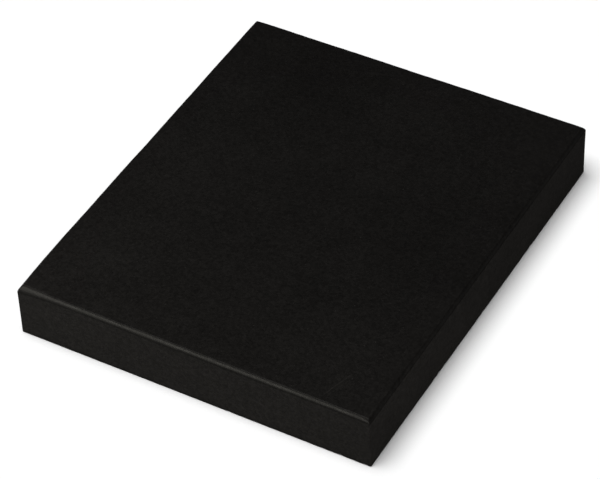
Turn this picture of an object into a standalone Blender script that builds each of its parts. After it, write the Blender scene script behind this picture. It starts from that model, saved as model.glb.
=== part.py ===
"""Granite slab for leatherworking: one solid block of black granite with an eased rim.

Units are metres and +Z is up. The origin is at the middle of the underside. X runs along the
short side, Y along the long side, and the working face is the top.
"""

import math

import bmesh
import bpy

# Overall size of the block
SLAB_WIDTH = 0.250
SLAB_LENGTH = 0.300
SLAB_THICKNESS = 0.040

# Rounded rim round the working face, rubbed down so that it can't mark leather
RIM_RADIUS = 0.003
# Narrow chamfer that takes the sharpness off the underside's edge
UNDERSIDE_ARRIS = 0.0008
# Plan radius of the upright corners: nearly sharp on the sides, dubbed off at the working face
SIDE_CORNER_RADIUS = 0.0012
WORKING_FACE_CORNER_RADIUS = 0.0045

# Straight facets that stand for each quarter round
RIM_STEPS = 6
CORNER_STEPS = 6

GRANITE_COLOUR = (0.0105, 0.0100, 0.0095, 1.0)
GRANITE_ROUGHNESS = 0.45


def clear_scene():
    """Remove every object, so that the slab is alone in the scene."""
    for old in list(bpy.data.objects):
        bpy.data.objects.remove(old, do_unlink=True)


def granite_material():
    """Near-black honed granite."""
    material = bpy.data.materials.new("granite")
    material.use_nodes = True
    shader = material.node_tree.nodes["Principled BSDF"]
    shader.inputs["Base Color"].default_value = GRANITE_COLOUR
    shader.inputs["Roughness"].default_value = GRANITE_ROUGHNESS
    shader.inputs["Metallic"].default_value = 0.0
    return material


def outline(inset, corner_radius, height):
    """Points of the slab's rectangle, drawn in by inset, with rounded corners, at one height."""
    centre_x = SLAB_WIDTH / 2 - inset - corner_radius
    centre_y = SLAB_LENGTH / 2 - inset - corner_radius
    points = []
    for quarter, (side_x, side_y) in enumerate(((1, 1), (-1, 1), (-1, -1), (1, -1))):
        for step in range(CORNER_STEPS + 1):
            angle = math.radians(90) * (quarter + step / CORNER_STEPS)
            x = side_x * centre_x + corner_radius * math.cos(angle)
            y = side_y * centre_y + corner_radius * math.sin(angle)
            points.append((x, y, height))
    return points


def slab_rings():
    """Outlines from the underside up to the working face."""
    rings = [
        outline(UNDERSIDE_ARRIS, SIDE_CORNER_RADIUS, 0.0),
        outline(0.0, SIDE_CORNER_RADIUS, UNDERSIDE_ARRIS),
    ]
    for step in range(RIM_STEPS + 1):
        angle = math.radians(90) * step / RIM_STEPS
        turned = 1 - math.cos(angle)
        corner_growth = (WORKING_FACE_CORNER_RADIUS - SIDE_CORNER_RADIUS) * turned
        height = SLAB_THICKNESS - RIM_RADIUS * (1 - math.sin(angle))
        rings.append(outline(RIM_RADIUS * turned, SIDE_CORNER_RADIUS + corner_growth, height))
    return rings


def build_slab():
    """The block: its outlines joined by quads and closed by the underside and the working face."""
    mesh = bpy.data.meshes.new("granite_slab")
    shape = bmesh.new()
    rings = [[shape.verts.new(point) for point in ring] for ring in slab_rings()]
    for lower, upper in zip(rings, rings[1:]):
        for i in range(len(lower)):
            j = (i + 1) % len(lower)
            shape.faces.new((lower[i], lower[j], upper[j], upper[i]))
    shape.faces.new(reversed(rings[0]))
    shape.faces.new(rings[-1])
    shape.to_mesh(mesh)
    shape.free()
    mesh.shade_smooth()
    mesh.set_sharp_from_angle(angle=math.radians(40))

    slab = bpy.data.objects.new("granite_slab", mesh)
    slab.data.materials.append(granite_material())
    bpy.context.scene.collection.objects.link(slab)
    return slab


clear_scene()
build_slab()
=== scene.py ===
"""Granite slab for leatherworking: the detailed stone and its studio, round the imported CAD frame.

Units are metres and +Z is up. The slab lies on the floor at z = 0 with its working face on top. Its
front is the short side that faces -Y, and the camera looks from the front right.
"""

import math
import random

import bmesh
import bpy
from mathutils import Matrix, Vector, noise


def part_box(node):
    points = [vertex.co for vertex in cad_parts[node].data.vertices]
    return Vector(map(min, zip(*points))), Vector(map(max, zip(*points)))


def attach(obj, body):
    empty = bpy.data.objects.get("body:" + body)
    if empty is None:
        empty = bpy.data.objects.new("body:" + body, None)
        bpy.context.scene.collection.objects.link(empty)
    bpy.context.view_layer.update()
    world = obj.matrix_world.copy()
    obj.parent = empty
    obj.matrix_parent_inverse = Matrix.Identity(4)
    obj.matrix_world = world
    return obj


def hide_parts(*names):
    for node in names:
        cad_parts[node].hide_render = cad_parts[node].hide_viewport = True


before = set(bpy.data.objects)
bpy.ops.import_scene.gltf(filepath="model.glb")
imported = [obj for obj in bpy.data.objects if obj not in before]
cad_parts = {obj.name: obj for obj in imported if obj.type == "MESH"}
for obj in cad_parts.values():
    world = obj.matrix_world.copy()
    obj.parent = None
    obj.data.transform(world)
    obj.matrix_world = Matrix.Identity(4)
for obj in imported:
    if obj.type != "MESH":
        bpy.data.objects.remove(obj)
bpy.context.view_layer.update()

MM = 0.001

# ---- Size of the block, from the CAD node that the detailed stone replaces ----
node_low, node_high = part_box("granite_slab")
WIDTH = node_high.x - node_low.x
LENGTH = node_high.y - node_low.y
THICKNESS = node_high.z - node_low.z
ROUND_TRIP = 2 * (WIDTH + LENGTH)

# ---- Plan corners, in the order of the walk round the slab, which starts at the front right ----
PLAN_CORNERS = ((1, -1), (1, 1), (-1, 1), (-1, -1))
CORNER_WALKED = (0.0, LENGTH, LENGTH + WIDTH, 2 * LENGTH + WIDTH)
SIDE_CORNER_RADIUS = 0.7 * MM      # of the upright edges
FACE_CORNER_RADIUS = 1.2 * MM      # where the rim meets the working face

# ---- Rim round the working face: a narrow chamfer, rubbed round on both sides ----
LOWER_ROUND = 3.2 * MM             # radius between the side and the chamfer
RIM_CHAMFER = 1.6 * MM             # width of the chamfer
UPPER_ROUND = 1.5 * MM             # radius between the chamfer and the working face
CHAMFER_TURN = (34, 43)            # how far the surface has turned up where the chamfer starts and ends
ROUND_STEPS = 6
CHAMFER_STEPS = 3
RIM_LONG_WAVE = (0.15, 34 * MM)    # share by which the rim's size wanders, and over what distance
RIM_SHORT_WAVE = (0.07, 7 * MM)
CORNER_GROWTH = (0.0, 0.0, 0.0, 0.60)   # how much larger the rim is at each corner
GROWTH_REACH = 22 * MM
CORNER_DROP = (0.5 * MM, 0.3 * MM, 0.3 * MM, 0.5 * MM)   # how far rubbing has lowered each corner
DROP_REACH = 6.0 * MM

# ---- Sides and lower edge ----
SIDE_ROWS = 10
SIDE_WAVE = (0.06 * MM, 45 * MM)   # how far the sawn sides wander, and over what distance
ARRIS = 0.6 * MM
ARRIS_RISE = 1.1                   # height of the broken lower edge, as a share of its width
ARRIS_WAVE = (0.35, 6 * MM)
ARRIS_SHARES = (0.0, 0.35, 0.7, 1.0)
ARRIS_BULGE = 0.06                 # how far the broken edge stands out in the middle, by its width
CHIP_COUNT = 60
CHIP_DRAW = 11                     # seed of the flakes' random draws
CHIP_HALF_WIDTH = (0.9 * MM, 3.2 * MM)
CHIP_DEPTH = (0.1 * MM, 0.9 * MM)

# ---- Mesh density: cells across the flat faces, which halve in size twice towards the perimeter ----
CELLS_X = 80
CELLS_Y = 96
CELLS_CORNER = 4
HALVINGS = 2
HALVING_STEP = 1.6 * MM            # width of each ring of cells in which they halve
SHARP_EDGE = 38                    # degrees of bend from which an edge is shaded sharp


def stations():
    """Walk round the plan: (place on the inner rectangle, outward direction, distance walked)."""
    found = []
    fine = 2 ** HALVINGS
    for k, start in enumerate(PLAN_CORNERS):
        end = PLAN_CORNERS[(k + 1) % 4]
        length, cells = (WIDTH, CELLS_X) if k % 2 else (LENGTH, CELLS_Y)
        facing = 90 * k
        out = Vector((math.cos(math.radians(facing)), math.sin(math.radians(facing))))
        for i in range(cells * fine):
            share = i / (cells * fine)
            place = Vector(start).lerp(Vector(end), share)
            found.append((place, out, CORNER_WALKED[k] + length * share))
        for i in range(CELLS_CORNER * fine):
            angle = math.radians(facing + 90 * i / (CELLS_CORNER * fine))
            turned = Vector((math.cos(angle), math.sin(angle)))
            found.append((Vector(end), turned, CORNER_WALKED[k] + length))
    return found


def wander(walked, distance, seed):
    """Smooth noise from -1 to 1 along the closed walk round the slab."""
    angle = 2 * math.pi * walked / ROUND_TRIP
    ring = ROUND_TRIP / (2 * math.pi * distance)
    return noise.noise(Vector((math.cos(angle) * ring, math.sin(angle) * ring, seed)))


def rim_scale(walked):
    """How large the rim is at this place on the walk, as a share of its normal size."""
    scale = 1.0
    scale += RIM_LONG_WAVE[0] * wander(walked, RIM_LONG_WAVE[1], 3.1)
    scale += RIM_SHORT_WAVE[0] * wander(walked, RIM_SHORT_WAVE[1], 7.7)
    for corner, growth in zip(CORNER_WALKED, CORNER_GROWTH):
        off = abs(walked - corner)
        off = min(off, ROUND_TRIP - off)
        scale += growth * math.exp(-((off / GROWTH_REACH) ** 2))
    return scale


def corner_fall(x, y):
    """How far the rubbed corners lower the working face at this place."""
    fall = 0.0
    for (side_x, side_y), drop in zip(PLAN_CORNERS, CORNER_DROP):
        off = math.hypot(x - side_x * WIDTH / 2, y - side_y * LENGTH / 2)
        fall += drop * math.exp(-((off / DROP_REACH) ** 2))
    return fall


def rim_profile():
    """(inset, rise, turn) of the rim's section from the side to the working face, at scale 1."""
    start, end = (math.radians(turn) for turn in CHAMFER_TURN)
    parts = (
        (0.0, start, LOWER_ROUND, ROUND_STEPS),
        (start, end, RIM_CHAMFER / (end - start), CHAMFER_STEPS),
        (end, math.pi / 2, UPPER_ROUND, ROUND_STEPS),
    )
    inset = rise = 0.0
    points = [(inset, rise, 0.0)]
    for first, last, radius, steps in parts:
        for i in range(steps):
            before = first + (last - first) * i / steps
            after = first + (last - first) * (i + 1) / steps
            inset += radius * (math.cos(before) - math.cos(after))
            rise += radius * (math.sin(after) - math.sin(before))
            points.append((inset, rise, after))
    return points


def chips():
    """(place on the walk, half width, depth) of the small flakes off the lower edge."""
    draw = random.Random(CHIP_DRAW)
    flakes = []
    for _ in range(CHIP_COUNT):
        place = draw.uniform(0, ROUND_TRIP)
        half_width = draw.uniform(*CHIP_HALF_WIDTH)
        depth = draw.uniform(*CHIP_DEPTH) * draw.random()
        flakes.append((place, half_width, depth))
    return flakes


def arris_size(walked, flakes):
    """Width of the broken lower edge at this place on the walk."""
    size = ARRIS * (1 + ARRIS_WAVE[0] * wander(walked, ARRIS_WAVE[1], 21.3))
    for place, half_width, depth in flakes:
        off = abs(walked - place) / half_width
        if off < 1:
            size += depth * (1 - off * off)
    return size


def ring_point(station, inset, corner_radius, height):
    """One vertex's place on an outline drawn in by inset."""
    place, out, _ = station
    x = place.x * (WIDTH / 2 - inset - corner_radius) + out.x * corner_radius
    y = place.y * (LENGTH / 2 - inset - corner_radius) + out.y * corner_radius
    return Vector((x, y, height))


def outlines():
    """The slab's outlines from the underside up to the working face, each a list of places."""
    walk = stations()
    flakes = chips()
    profile = rim_profile()
    rim_rise = profile[-1][1]
    sizes = [rim_scale(station[2]) for station in walk]
    broken = [arris_size(station[2], flakes) for station in walk]
    rings = []

    for share in ARRIS_SHARES:
        ring = []
        for station, size in zip(walk, broken):
            inset = size * (1 - share - ARRIS_BULGE * math.sin(math.pi * share))
            ring.append(ring_point(station, inset, SIDE_CORNER_RADIUS, size * share * ARRIS_RISE))
        rings.append(ring)

    for row in range(1, SIDE_ROWS + 1):
        share = row / SIDE_ROWS
        ring = []
        for station, size, edge in zip(walk, sizes, broken):
            low, high = ARRIS_RISE * edge, THICKNESS - rim_rise * size
            height = low + (high - low) * share
            wave = 0.5 + 0.5 * noise.noise(Vector((station[2], height, 0.0)) / SIDE_WAVE[1])
            inset = SIDE_WAVE[0] * wave * math.sin(math.pi * share)
            ring.append(ring_point(station, inset, SIDE_CORNER_RADIUS, height))
        rings.append(ring)

    for inset, rise, turn in profile[1:]:
        corner = SIDE_CORNER_RADIUS + (FACE_CORNER_RADIUS - SIDE_CORNER_RADIUS) * (1 - math.cos(turn))
        ring = []
        for station, size in zip(walk, sizes):
            at = ring_point(station, inset * size, corner, THICKNESS - (rim_rise - rise) * size)
            at.z -= corner_fall(at.x, at.y) * rise / rim_rise
            ring.append(at)
        rings.append(ring)
    return rings


def close_face(shape, ring, upward):
    """Close a flat face: rings that halve the number of points, then a grid across it."""

    def face(*corners):
        shape.faces.new(corners if upward else tuple(reversed(corners)))

    def new_vertex(x, y):
        height = THICKNESS - corner_fall(x, y) if upward else 0.0
        return shape.verts.new((x, y, height))

    for _ in range(HALVINGS):
        shrink_x = 1 - HALVING_STEP / (WIDTH / 2)
        shrink_y = 1 - HALVING_STEP / (LENGTH / 2)
        inner = [new_vertex(vertex.co.x * shrink_x, vertex.co.y * shrink_y) for vertex in ring[::2]]
        for i, near in enumerate(inner):
            a, b, c = ring[2 * i], ring[2 * i + 1], ring[(2 * i + 2) % len(ring)]
            far = inner[(i + 1) % len(inner)]
            face(a, b, near)
            face(b, c, far, near)
        ring = inner

    # The walk starts at the low end of the +X side; a grid corner is the middle of a plan corner.
    across, along = CELLS_X + CELLS_CORNER, CELLS_Y + CELLS_CORNER
    first = len(ring) - CELLS_CORNER // 2

    def run(start, count):
        return [ring[(start + i) % len(ring)] for i in range(count + 1)]

    right = run(first, along)
    back = run(first + along, across)[::-1]
    left = run(first + along + across, along)[::-1]
    front = run(first + 2 * along + across, across)
    grid = [left]
    for i in range(1, across):
        u = i / across
        column = [front[i]]
        for j in range(1, along):
            v = j / along
            at = left[j].co * (1 - u) + right[j].co * u + front[i].co * (1 - v) + back[i].co * v
            at -= (left[0].co * (1 - u) + right[0].co * u) * (1 - v)
            at -= (left[along].co * (1 - u) + right[along].co * u) * v
            column.append(new_vertex(at.x, at.y))
        column.append(back[i])
        grid.append(column)
    grid.append(right)
    for near, far in zip(grid, grid[1:]):
        for j in range(along):
            face(near[j], far[j], far[j + 1], near[j + 1])


def build_stone():
    """The detailed block as one closed mesh."""
    shape = bmesh.new()
    rings = [[shape.verts.new(place) for place in ring] for ring in outlines()]
    for lower, upper in zip(rings, rings[1:]):
        for i in range(len(lower)):
            j = (i + 1) % len(lower)
            shape.faces.new((lower[i], lower[j], upper[j], upper[i]))
    close_face(shape, rings[-1], True)
    close_face(shape, rings[0], False)
    mesh = bpy.data.meshes.new("granite_block")
    shape.to_mesh(mesh)
    shape.free()
    mesh.shade_smooth()
    mesh.set_sharp_from_angle(angle=math.radians(SHARP_EDGE))
    block = bpy.data.objects.new("granite_block", mesh)
    bpy.context.scene.collection.objects.link(block)
    return block


# ---- Granite: grain, relief and wear at the sizes of the real stone, with some painted light and shade ----
STONE_TINT = (0.00600, 0.00563, 0.00535)   # linear colour of the working face, before its grain
SHINE_TINT = (1.0, 0.98, 0.93, 1.0)
SHINE_LEVEL = 0.05                 # low: the photo shows a dull shine, and only on the front rim

# Upward tilts (the Z of the surface's normal) between which one finish gives way to the next
SMOOTH_TILT = (0.30, 0.52)         # rough sawn side to smooth rim
RUBBED_AND_SHADED_TILT = (0.03, 0.16)         # pale sawn side to dark rim
FLAT_TILT = (0.74, 0.985)          # dark rim to working face
UNDERSIDE_TILT = (-0.9, -0.5)      # underside to side
SIDE_LIGHTNESS = 0.88              # as a share of the working face's
# The rim's darkness is partly its rubbed polish and partly painted shade, which deepens the dark band along
# the rim
RIM_POLISH_AND_SHADE_LIGHTNESS = 0.50
UNDERSIDE_LIGHTNESS = 2.2          # as a share of the sides'
SIDE_ROUGHNESS = 0.88
SMOOTH_ROUGHNESS = 0.36            # of the rim and the working face
CRYSTAL_ROUGHNESS = 0.04           # how far the roughness differs from crystal to crystal
CLOUD_ROUGHNESS = 0.03             # and from place to place

# Grain: (size, share by which it lightens or darkens the stone)
CRYSTAL = (1.35 * MM, 0.22)
SPECK = (0.55 * MM, 0.16)
MOTTLE = (3.4 * MM, 0.14)
CLOUD = (30 * MM, 0.07)
MOTTLE_DETAIL = 3.0
CLOUD_DETAIL = 4.0
CLOUD_FRACTION = 0.55              # weight of each finer octave in both
NOISE_SPAN = (0.3, 0.7)            # nearly all of a noise's values lie between these
BEND_SIZE = 1.6 * MM               # the noise that bends the crystals' walls, and how far it moves them
BEND_REACH = 1.1 * MM

# Sparse round spots: (spacing, random value from which they grow, largest radius, width of the edge),
# where the last two are shares of the spacing
FLECKS = (3.1 * MM, 0.55, 0.10, 0.03)
PITS = (2.4 * MM, 0.7, 0.13, 0.05)
FLECK_LIGHT = 1.6                  # what a pale feldspar grain adds to the stone's lightness

# Relief, as heights in steps of RELIEF_STEP
RELIEF_STEP = 0.02 * MM
CRYSTAL_HEIGHT = 0.35
SPECK_HEIGHT = 0.15
PIT_HEIGHT = -2.2
SAWN_HEIGHT = 3.0                  # of the saw's level marks, on the sides and the underside
SAWN_SIZE = 0.9 * MM
SAWN_STRETCH = (0.12, 0.12, 1.0)

# Smudges and painted light and shade on the working face, each a patch: (x, y, radius, share that it
# lightens, or darkens where negative). The large patches are painted light and shade that follow how the
# light falls across the face, lighter at the front and the left and darker at the right and the back; the
# small ones are smudges.
SMUDGE_AND_SHADE_PATCHES = (
    (-95 * MM, -118 * MM, 68 * MM, 0.12),
    (-96 * MM, 76 * MM, 30 * MM, 0.14),
    (25 * MM, 104 * MM, 34 * MM, 0.12),
    (33 * MM, 49 * MM, 36 * MM, 0.10),
    (-43 * MM, -52 * MM, 28 * MM, -0.10),
    (-6 * MM, -49 * MM, 22 * MM, -0.09),
    (45 * MM, -66 * MM, 26 * MM, -0.10),
    (79 * MM, -58 * MM, 24 * MM, -0.09),
    (96 * MM, 8 * MM, 84 * MM, -0.10),
    (88 * MM, -108 * MM, 68 * MM, 0.13),
    (-98 * MM, -8 * MM, 72 * MM, 0.13),
    (-62 * MM, 120 * MM, 96 * MM, -0.13),
)
# Scratches on the working face: (start, end, half width, share that they lighten)
SCRATCHES = (
    ((89.2 * MM, -145.5 * MM), (98.6 * MM, -115.7 * MM), 0.36 * MM, 0.75),
    ((91.6 * MM, -145.0 * MM), (99.6 * MM, -121.0 * MM), 0.24 * MM, 0.45),
    ((-62.0 * MM, 12.0 * MM), (-17.0 * MM, 41.0 * MM), 0.14 * MM, 0.22),
    ((18.0 * MM, -98.0 * MM), (47.0 * MM, -84.0 * MM), 0.12 * MM, 0.24),
    ((-101.0 * MM, -31.0 * MM), (-84.0 * MM, 13.0 * MM), 0.12 * MM, 0.20),
)
SCRATCH_EDGE = (0.4, 1.6)          # half widths from the middle, between which a scratch fades out
SCRATCH_STARTED = 0.25             # share of its length by which it is at its strongest
SCRATCH_ENDING = 0.6               # and from which it fades


class Graph:
    """Small helper that adds and links shader nodes."""

    def __init__(self, tree):
        self.tree = tree

    def add(self, kind, inputs=None, **settings):
        node = self.tree.nodes.new(kind)
        for name, value in settings.items():
            setattr(node, name, value)
        for name, value in (inputs or {}).items():
            if isinstance(value, bpy.types.NodeSocket):
                self.tree.links.new(value, node.inputs[name])
            else:
                node.inputs[name].default_value = value
        return node

    def math(self, operation, first, second=0.0):
        return self.add("ShaderNodeMath", {0: first, 1: second}, operation=operation).outputs[0]

    def vector(self, operation, first, second, output="Vector"):
        node = self.add("ShaderNodeVectorMath", {0: first, 1: second}, operation=operation)
        return node.outputs[output]

    def remap(self, value, low, high, to_low, to_high, curve="LINEAR"):
        inputs = {"Value": value, "From Min": low, "From Max": high, "To Min": to_low, "To Max": to_high}
        return self.add("ShaderNodeMapRange", inputs, interpolation_type=curve).outputs["Result"]

    def swing(self, value, amount, low=0.0, high=1.0):
        """1 plus or minus amount, as value runs from low to high."""
        return self.remap(value, low, high, 1 - amount, 1 + amount)

    def product(self, *factors):
        result = factors[0]
        for factor in factors[1:]:
            result = self.math("MULTIPLY", result, factor)
        return result

    def total(self, *terms):
        result = terms[0]
        for term in terms[1:]:
            result = self.math("ADD", result, term)
        return result

    def noise(self, place, size, detail=2.0, roughness=0.5):
        inputs = {"Vector": place, "Scale": 1 / size, "Detail": detail, "Roughness": roughness}
        return self.add("ShaderNodeTexNoise", inputs)

    def cells(self, place, size):
        """(random value of each cell, another, distance from its middle in cells)."""
        node = self.add("ShaderNodeTexVoronoi", {"Vector": place, "Scale": 1 / size})
        split = self.add("ShaderNodeSeparateColor", {"Color": node.outputs["Color"]})
        return split.outputs["Red"], split.outputs["Green"], node.outputs["Distance"]

    def spots(self, draw, off, draw_from, radius, edge):
        """1 on round spots and 0 off them, larger where the cell's draw is above draw_from."""
        reach = self.remap(draw, draw_from, 1.0, 0.0, radius)
        return self.remap(self.math("SUBTRACT", off, reach), 0.0, edge, 1.0, 0.0)


def smudge_and_shade_factor(g, place):
    """How much the smudges and the painted light and shade lighten or darken the stone here."""
    factors = []
    for x, y, radius, share in SMUDGE_AND_SHADE_PATCHES:
        away = g.vector("DISTANCE", place, (x, y, THICKNESS), "Value")
        factors.append(g.remap(away, 0.0, radius, 1 + share, 1.0, "SMOOTHERSTEP"))
    return g.product(*factors)


def scratch_lightness(g, place):
    """What the scratches add to the stone's lightness here."""
    lines = []
    for (start_x, start_y), (end_x, end_y), half_width, share in SCRATCHES:
        run = Vector((end_x - start_x, end_y - start_y, 0.0))
        direction = run.normalized()
        start = g.vector("SUBTRACT", place, (start_x, start_y, THICKNESS))
        along = g.vector("DOT_PRODUCT", start, direction, "Value")
        across = g.vector("DOT_PRODUCT", start, direction.cross((0, 0, 1)), "Value")
        inner, outer = (half_width * edge for edge in SCRATCH_EDGE)
        line = g.remap(g.math("ABSOLUTE", across), inner, outer, 1.0, 0.0)
        begins = g.remap(along, 0.0, SCRATCH_STARTED * run.length, 0.0, 1.0)
        ends = g.remap(along, SCRATCH_ENDING * run.length, run.length, 1.0, 0.0)
        lines.append(g.product(line, begins, ends, share))
    return g.total(*lines)


def granite_material():
    """Near-black fine-grained granite: honed on top, rubbed on the rim, sawn elsewhere, with painted shade
    on the rim and painted light and shade in patches on the working face.
    """
    material = bpy.data.materials.new("granite")
    material.use_nodes = True
    tree = material.node_tree
    tree.nodes.clear()
    g = Graph(tree)
    place = g.add("ShaderNodeTexCoord").outputs["Object"]
    normal = g.add("ShaderNodeNewGeometry").outputs["Normal"]
    tilt = g.add("ShaderNodeSeparateXYZ", {"Vector": normal}).outputs["Z"]

    # Interlocked crystals: the cell walls are bent by noise so that they don't look like tiles.
    bend = g.vector("SUBTRACT", g.noise(place, BEND_SIZE).outputs["Color"], (0.5, 0.5, 0.5))
    bent = g.vector("ADD", place, g.vector("MULTIPLY", bend, (BEND_REACH, BEND_REACH, BEND_REACH)))
    crystal, crystal_kind, _ = g.cells(bent, CRYSTAL[0])
    speck, _, _ = g.cells(bent, SPECK[0])
    mottle = g.noise(place, MOTTLE[0], MOTTLE_DETAIL, CLOUD_FRACTION).outputs["Fac"]
    cloud = g.noise(place, CLOUD[0], CLOUD_DETAIL, CLOUD_FRACTION).outputs["Fac"]
    grain = g.product(
        g.swing(crystal, CRYSTAL[1]),
        g.swing(speck, SPECK[1]),
        g.swing(mottle, MOTTLE[1], *NOISE_SPAN),
        g.swing(cloud, CLOUD[1], *NOISE_SPAN),
        # smudges, and large patches of painted light and shade
        smudge_and_shade_factor(g, place),
    )

    # Sparse pale feldspar grains, up to about 0.7 mm across, and the scratches.
    _, fleck_draw, fleck_off = g.cells(bent, FLECKS[0])
    fleck = g.spots(fleck_draw, fleck_off, *FLECKS[1:])
    shade = g.total(grain, g.product(fleck, FLECK_LIGHT), scratch_lightness(g, place))

    # The rim is darker than the sawn sides and the honed face, partly from its rubbed polish and partly as
    # painted shade that deepens the dark band along it; the underside is the palest.
    rim = g.remap(tilt, *RUBBED_AND_SHADED_TILT, SIDE_LIGHTNESS, RIM_POLISH_AND_SHADE_LIGHTNESS)
    face = g.remap(tilt, *FLAT_TILT, 0.0, 1.0 - RIM_POLISH_AND_SHADE_LIGHTNESS)
    underside = g.remap(tilt, *UNDERSIDE_TILT, UNDERSIDE_LIGHTNESS, 1.0)
    shade = g.product(shade, g.total(rim, face), underside)
    colour = g.add("ShaderNodeVectorMath", {0: STONE_TINT, "Scale": shade}, operation="SCALE")

    smooth = g.remap(tilt, *SMOOTH_TILT, 0.0, 1.0)
    roughness = g.total(
        g.remap(smooth, 0.0, 1.0, SIDE_ROUGHNESS, SMOOTH_ROUGHNESS),
        g.remap(crystal_kind, 0.0, 1.0, -CRYSTAL_ROUGHNESS, CRYSTAL_ROUGHNESS),
        g.remap(cloud, *NOISE_SPAN, -CLOUD_ROUGHNESS, CLOUD_ROUGHNESS),
    )

    # Fine relief: crystals stand a little proud of each other, a few have left pits, and the saw has
    # left level marks.
    pit_draw, _, pit_off = g.cells(bent, PITS[0])
    pit = g.spots(pit_draw, pit_off, *PITS[1:])
    sawn = g.noise(g.vector("MULTIPLY", place, SAWN_STRETCH), SAWN_SIZE).outputs["Fac"]
    height = g.total(
        g.product(crystal, CRYSTAL_HEIGHT),
        g.product(speck, SPECK_HEIGHT),
        g.product(pit, PIT_HEIGHT),
        g.product(sawn, g.remap(smooth, 0.0, 1.0, SAWN_HEIGHT, 0.0)),
    )
    relief = g.add("ShaderNodeBump", {"Height": height, "Distance": RELIEF_STEP, "Strength": 1.0})

    shader = g.add(
        "ShaderNodeBsdfPrincipled",
        {
            "Base Color": colour.outputs["Vector"],
            "Roughness": roughness,
            "Normal": relief.outputs["Normal"],
            "Specular IOR Level": SHINE_LEVEL,
            "Specular Tint": SHINE_TINT,
        },
    )
    g.add("ShaderNodeOutputMaterial", {"Surface": shader.outputs["BSDF"]})
    return material


# ---- Studio: angles are in degrees, and azimuth 0 is the front short side and 90 the +X side ----
FLOOR_COLOUR = (0.82, 0.82, 0.82, 1.0)
FLOOR_ROUGHNESS = 0.9
FLOOR_RADIUS = 9.0
FLOOR_SIDES = 96
KEY_COLOUR = (1.0, 0.99, 0.93)
FILL_COLOUR = (1.0, 0.98, 0.93)
# Lights on the stone alone, aimed at its working face:
# (name, azimuth, elevation, distance, width, height, watts, colour, whether the stone mirrors it)
STONE_LIGHTS = (
    ("key", -26, 24, 0.8, 0.85, 0.115, 7.8, KEY_COLOUR, True),
    ("front_fill", 14, 8, 0.9, 0.5, 0.2, 0.8, FILL_COLOUR, True),
    ("right_fill", 75, 2, 0.75, 0.3, 0.03, 4.7, FILL_COLOUR, False),
    ("back_fill", 236, 1.5, 0.9, 0.5, 0.03, 7.0, FILL_COLOUR, False),
)
# Light from above, on everything and on the floor alone: (name, azimuth, elevation, strength, spread)
OVERHEAD = ("overhead", -40, 78, 2.2, 40)
FLOOR_WASH = ("floor_wash", -40, 78, 1.65, 40)
SUN_DISTANCE = 3.0                 # only where the lamp is drawn: a sun shines alike from any distance
HORIZON = (0.03, 0.10)             # sines of the angles off level between which it fades into the room
HORIZON_LEVEL = 1.0
ROOM_LEVEL = 0.05
LENS_MM = 169.5
SENSOR_MM = 36.0
TARGET = Vector((0.0003, -0.0131, THICKNESS / 2))
VIEW_FROM = (30.9, 42.9, 1.811)    # azimuth, elevation and distance from TARGET
VIEW_ROLL = -2.4


def floor_material():
    """Plain pale paint."""
    material = bpy.data.materials.new("floor_paint")
    material.use_nodes = True
    shader = material.node_tree.nodes["Principled BSDF"]
    shader.inputs["Base Color"].default_value = FLOOR_COLOUR
    shader.inputs["Roughness"].default_value = FLOOR_ROUGHNESS
    shader.inputs["Specular IOR Level"].default_value = 0.0
    return material


def build_floor():
    """Round floor that the stone's gloss doesn't mirror, since the photo's dark rim mirrors a dark room."""
    mesh = bpy.data.meshes.new("floor")
    shape = bmesh.new()
    bmesh.ops.create_circle(shape, cap_ends=True, radius=FLOOR_RADIUS, segments=FLOOR_SIDES)
    shape.to_mesh(mesh)
    shape.free()
    ground = bpy.data.objects.new("floor", mesh)
    ground.data.materials.append(floor_material())
    ground.visible_glossy = False
    bpy.context.scene.collection.objects.link(ground)
    return ground


def aim(thing, target):
    """Turn a light or a camera, whose own view is along -Z, towards target."""
    thing.rotation_mode = "QUATERNION"
    thing.rotation_quaternion = (Vector(target) - thing.location).to_track_quat("-Z", "Y")


def bearing(azimuth, elevation, distance):
    """Offset to a place at this azimuth, elevation and distance."""
    a, e = math.radians(azimuth), math.radians(elevation)
    return Vector((math.sin(a) * math.cos(e), -math.cos(a) * math.cos(e), math.sin(e))) * distance


def place_light(data, offset, target):
    light = bpy.data.objects.new(data.name, data)
    light.location = offset
    aim(light, target)
    bpy.context.scene.collection.objects.link(light)
    return light


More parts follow.
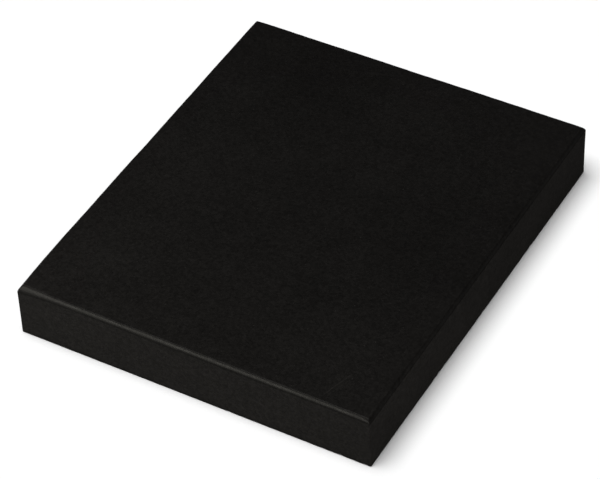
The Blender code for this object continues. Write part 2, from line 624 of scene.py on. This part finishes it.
def area_light(name, azimuth, elevation, distance, width, height, watts, colour, mirrored):
    data = bpy.data.lights.new(name, "AREA")
    data.shape = "RECTANGLE"
    data.size = width
    data.size_y = height
    data.energy = watts
    data.color = colour
    light = place_light(data, bearing(azimuth, elevation, distance), (0.0, 0.0, THICKNESS))
    light.visible_camera = False
    light.visible_glossy = mirrored
    return light


def sun_light(name, azimuth, elevation, strength, spread):
    data = bpy.data.lights.new(name, "SUN")
    data.energy = strength
    data.angle = math.radians(spread)
    return place_light(data, bearing(azimuth, elevation, SUN_DISTANCE), (0.0, 0.0, 0.0))


def light_only(light, thing):
    """Let a light fall on this thing alone."""
    receivers = bpy.data.collections.new(light.name + "_receivers")
    receivers.objects.link(thing)
    light.light_linking.receiver_collection = receivers


def build_world():
    """Dim studio with a pale band at the horizon, where low views look past the floor."""
    world = bpy.data.worlds.new("studio")
    world.use_nodes = True
    tree = world.node_tree
    tree.nodes.clear()
    g = Graph(tree)
    direction = g.add("ShaderNodeTexCoord").outputs["Generated"]
    upward = g.add("ShaderNodeSeparateXYZ", {"Vector": direction}).outputs["Z"]
    level = g.remap(g.math("ABSOLUTE", upward), *HORIZON, HORIZON_LEVEL, ROOM_LEVEL)
    background = g.add("ShaderNodeBackground", {"Color": (1.0, 1.0, 1.0, 1.0), "Strength": level})
    g.add("ShaderNodeOutputWorld", {"Surface": background.outputs["Background"]})
    bpy.context.scene.world = world


def build_camera():
    """Long lens, high on the front right, a little rolled."""
    data = bpy.data.cameras.new("camera")
    data.lens = LENS_MM
    data.sensor_width = SENSOR_MM
    camera = bpy.data.objects.new("camera", data)
    camera.location = TARGET + bearing(*VIEW_FROM)
    aim(camera, TARGET)
    roll = Matrix.Rotation(math.radians(VIEW_ROLL), 3, "Z").to_quaternion()
    camera.rotation_quaternion = camera.rotation_quaternion @ roll
    bpy.context.scene.collection.objects.link(camera)
    bpy.context.scene.camera = camera


stone = build_stone()
stone.data.materials.append(granite_material())
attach(stone, "root")
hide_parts("granite_slab")

floor = build_floor()
build_world()
for settings in STONE_LIGHTS:
    light_only(area_light(*settings), stone)
sun_light(*OVERHEAD)
light_only(sun_light(*FLOOR_WASH), floor)
build_camera()
bpy.context.scene.view_settings.view_transform = "Standard"
